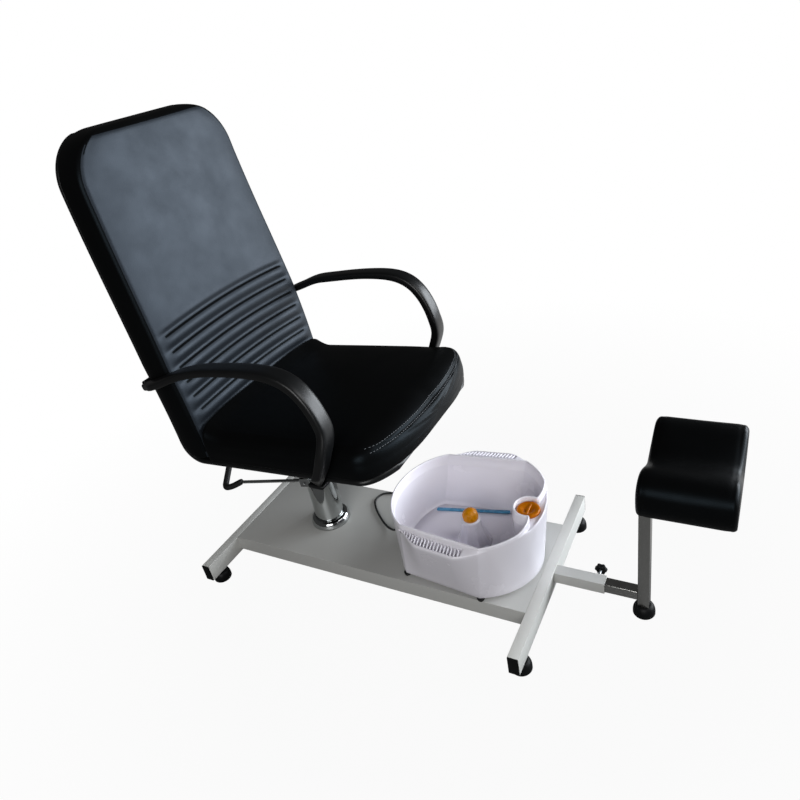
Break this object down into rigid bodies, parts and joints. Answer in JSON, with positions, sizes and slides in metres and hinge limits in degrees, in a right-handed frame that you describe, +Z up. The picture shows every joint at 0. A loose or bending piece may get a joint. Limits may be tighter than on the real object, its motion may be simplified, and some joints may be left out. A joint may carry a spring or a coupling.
{
  "type": "pedicure chair",
  "caption": "Upholstered swivel armchair on a pump-lift column, with a steel floor frame, a removable foot spa bath and a sliding padded calf rest.",
  "frame": {"origin": "floor level under the middle of the object's plan box, the mains cord left out", "axes": "+Z up, -Y the way the chair faces, +X to the sitter's left"},
  "size_m": [0.605, 1.315, 1.2003],
  "materials": {
    "grey_paint": "satin powder coat",
    "chrome": "polished",
    "plated_steel": "zinc plated",
    "black_plastic": "satin",
    "black_rubber": "matte",
    "leatherette": "grained, satin",
    "plywood": "raw",
    "white_plastic": "gloss",
    "orange_plastic": "gloss",
    "yellow_plastic": "gloss",
    "blue_plastic": "gloss"
  },
  "bodies": {
    "base": {"deck_panel": "grey_paint", "rear_cross_tube": "grey_paint", "front_cross_tube": "grey_paint", "end_cap_rear_left": "black_plastic", "end_cap_rear_right": "black_plastic", "end_cap_front_left": "black_plastic", "end_cap_front_right": "black_plastic", "footrest_sleeve": "grey_paint", "pump_flange": "chrome", "pump_cylinder": "chrome", "lever_bracket": "chrome", "lever_pin": "plated_steel"},
    "clamp": {"clamp_knob": "black_plastic", "clamp_screw": "chrome"},
    "lever": {"lever_rod": "chrome", "lever_grip": "black_rubber"},
    "piston": {"lift_piston": "chrome"},
    "chair": {"seat_mount": "plated_steel", "chair_shell": "black_plastic", "seat_cushion": "leatherette", "back_cushion": "leatherette", "left_arm": "black_plastic", "right_arm": "black_plastic", "left_arm_front_bolt": "plated_steel", "left_arm_rear_bolt": "plated_steel", "right_arm_front_bolt": "plated_steel", "right_arm_rear_bolt": "plated_steel", "mount_bolt_1": "plated_steel", "mount_bolt_2": "plated_steel", "mount_bolt_3": "plated_steel", "mount_bolt_4": "plated_steel"},
    "footrest": {"slide_tube": "chrome", "footrest_post": "chrome", "footrest_plate": "plated_steel", "footrest_board": "plywood", "footrest_pad": "leatherette", "pad_screw_front": "plated_steel", "pad_screw_rear": "plated_steel"},
    "foot_under_post": {"post_glide": "black_plastic"},
    "basin": {"tub": "white_plastic", "tub_bottom_cover": "white_plastic", "tub_foot_1": "black_rubber", "tub_foot_2": "black_rubber", "tub_foot_3": "black_rubber", "tub_foot_4": "black_rubber", "rotary_switch": "black_plastic", "air_pump": "black_plastic", "bubble_strip": "blue_plastic", "massage_pedestal": "white_plastic", "cord_gland": "black_rubber", "mains_cord": "black_rubber", "cord_coil": "black_rubber", "cord_tie": "black_plastic", "mains_plug": "black_plastic"},
    "dial": {"control_dial": "orange_plastic"},
    "cap": {"massage_cap": "yellow_plastic"},
    "foot_rear_left": {"glide_rear_left": "black_plastic"},
    "foot_rear_right": {"glide_rear_right": "black_plastic"},
    "foot_front_left": {"glide_front_left": "black_plastic"},
    "foot_front_right": {"glide_front_right": "black_plastic"}
  },
  "joints": [
    {"name": "level_rear_left", "type": "slide", "parent": "base", "child": "foot_rear_left", "axis": [0, 0, 1], "range_m": [-0.015, 0]},
    {"name": "level_rear_right", "type": "slide", "parent": "base", "child": "foot_rear_right", "axis": [0, 0, 1], "range_m": [-0.015, 0]},
    {"name": "level_front_left", "type": "slide", "parent": "base", "child": "foot_front_left", "axis": [0, 0, 1], "range_m": [-0.015, 0]},
    {"name": "level_front_right", "type": "slide", "parent": "base", "child": "foot_front_right", "axis": [0, 0, 1], "range_m": [-0.015, 0]},
    {"name": "level_post", "type": "slide", "parent": "footrest", "child": "foot_under_post", "axis": [0, 0, 1], "range_m": [-0.015, 0]},
    {"name": "pump_lever", "type": "hinge", "parent": "base", "child": "lever", "pos_m": [-0.055, 0.38705, 0.26], "axis": [0.9563, 0.2924, 0], "range_deg": [-18, 0], "stiffness_Nm_per_rad": 3, "springref_deg": 17.19},
    {"name": "seat_lift", "type": "slide", "parent": "base", "child": "piston", "axis": [0, 0, 1], "range_m": [0, 0.13]},
    {"name": "seat_swivel", "type": "hinge", "parent": "piston", "child": "chair", "pos_m": [0, 0.38705, 0.4223], "axis": [0, 0, 1], "continuous": true},
    {"name": "calf_rest_slide", "type": "slide", "parent": "base", "child": "footrest", "axis": [0, -1, 0], "range_m": [-0.06, 0.12]},
    {"name": "clamp_turn", "type": "hinge", "parent": "base", "child": "clamp", "pos_m": [0, -0.37345, 0.0615], "axis": [1, 0, 0], "range_deg": [0, 360]},
    {"name": "basin_lift_off", "type": "slide", "parent": "base", "child": "basin", "axis": [0, 0, 1], "range_m": [0, 0.12]},
    {"name": "dial_turn", "type": "hinge", "parent": "basin", "child": "dial", "pos_m": [-0.013, -0.22595, 0.2473], "axis": [0, 0, -1], "range_deg": [0, 270]},
    {"name": "cap_lift_off", "type": "slide", "parent": "basin", "child": "cap", "axis": [0, 0, 1], "range_m": [0, 0.04]}
  ]
}
